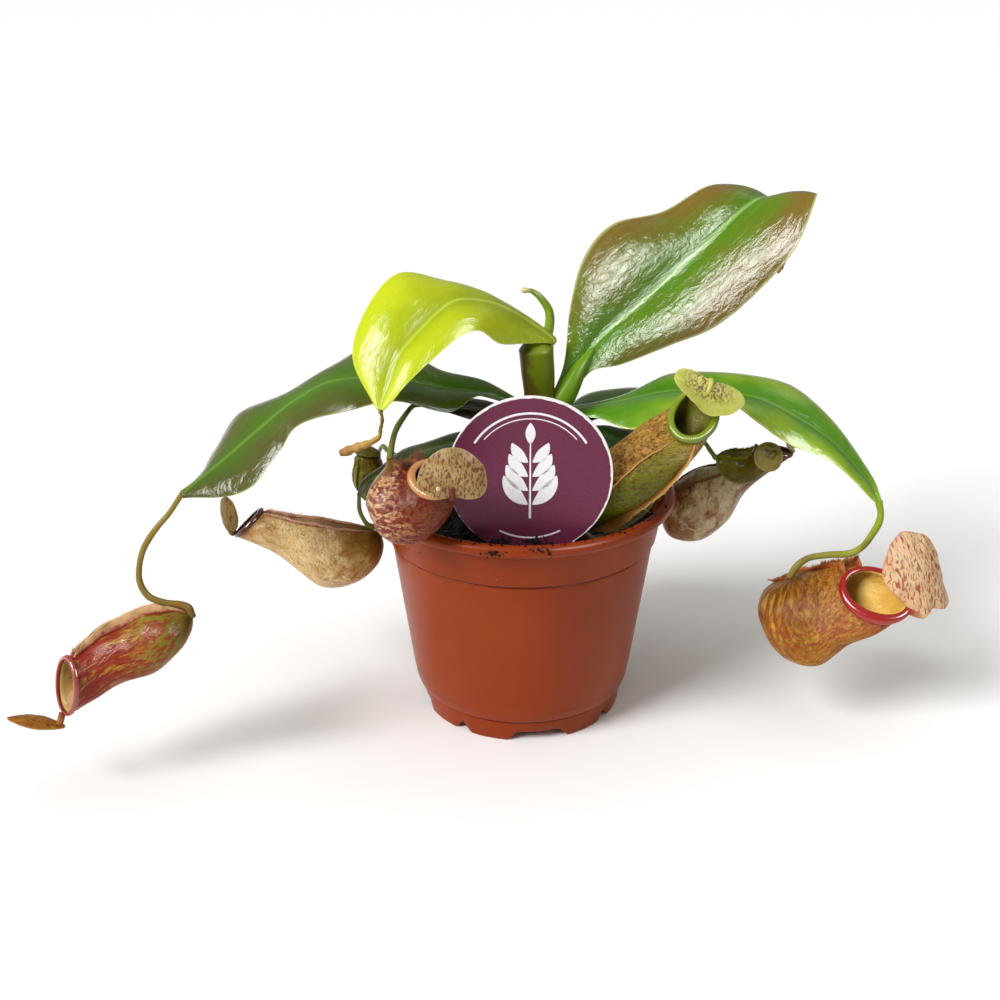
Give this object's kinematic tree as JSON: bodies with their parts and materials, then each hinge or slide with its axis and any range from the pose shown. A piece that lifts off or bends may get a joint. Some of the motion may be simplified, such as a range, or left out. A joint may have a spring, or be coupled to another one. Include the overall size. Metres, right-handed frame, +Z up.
{
  "type": "potted pitcher plant",
  "caption": "Tropical pitcher plant with glossy arching leaves and lidded pitchers hanging on tendrils, in a small nursery pot of dark peat with a round plant tag.",
  "frame": {"origin": "middle of the whole outline seen from above, on the surface that the pot stands on", "axes": "+Z up out of the pot, +X along the plant's widest spread with the arching upper leaf, tag facing -Y"},
  "size_m": [0.2626, 0.135, 0.1491],
  "materials": {
    "pot": "terracotta coloured moulded plastic, satin",
    "soil": "dark fibrous peat, matt",
    "tag": "plum printed card with a white cut edge, satin",
    "stem": "olive green plant stem, semi-gloss",
    "leaf": "green waxy leaf with a pale midrib, glossy",
    "young_leaf": "yellow-green young leaf, very glossy",
    "tendril": "olive to straw coloured tendril, semi-gloss",
    "dried_tendril": "dry straw coloured tendril end, matt",
    "cup_red": "red pitcher wall with yellow-green blotches, semi-gloss",
    "cup_tan": "tan pitcher wall with fine wrinkles, satin",
    "cup_spotted": "cream pitcher wall with maroon blotches, satin",
    "cup_orange": "orange-tan pitcher wall with a grey-green front, satin",
    "cup_cream": "cream and olive pitcher wall with maroon blotches, satin",
    "cup_yellow": "yellow pitcher wall with rust mottling, satin",
    "cup_young": "dark olive young pitcher, semi-gloss",
    "lip_red": "ribbed red lip, glossy",
    "lip_dark": "ribbed maroon lip, glossy",
    "lip_striped": "ribbed cream lip with pink stripes, glossy",
    "lip_green": "ribbed lime green lip, glossy",
    "lid": "cream lid with maroon flecks, satin"
  },
  "bodies": {
    "root": {"pot": "pot", "soil": "soil", "tag": "tag", "stem": "stem", "new_shoot": "leaf", "leaf_upper_right": "leaf", "leaf_young_left": "young_leaf", "leaf_long_left": "leaf", "leaf_long_right": "leaf", "leaf_low_left": "leaf", "leaf_low_right": "leaf", "leaf_under_left": "leaf", "leaf_under_right": "leaf", "leaf_back_right": "leaf", "leaf_back_left": "leaf", "tendril_far_left": "tendril", "tendril_mid_left": "tendril", "tendril_front_left": "tendril", "tendril_right_front": "tendril", "tendril_right_back": "tendril", "tendril_far_right": "tendril", "tendril_small_left": "tendril", "tendril_small_right": "tendril", "tendril_dried_upper": "dried_tendril", "tendril_dried_young": "dried_tendril", "pitcher_far_left": "cup_red", "lip_far_left": "lip_red", "lid_far_left": "lid", "pitcher_mid_left": "cup_tan", "lip_mid_left": "lip_dark", "lid_mid_left": "lid", "pitcher_front_left": "cup_spotted", "lip_front_left": "lip_striped", "lid_front_left": "lid", "pitcher_right_front": "cup_orange", "lip_right_front": "lip_green", "lid_right_front": "lid", "pitcher_right_back": "cup_cream", "lip_right_back": "lip_dark", "lid_right_back": "lid", "pitcher_far_right": "cup_yellow", "lip_far_right": "lip_red", "lid_far_right": "lid", "pitcher_small_left": "cup_young", "lid_small_left": "cup_young", "pitcher_small_right": "cup_young", "lid_small_right": "cup_young"}
  },
  "joints": []
}
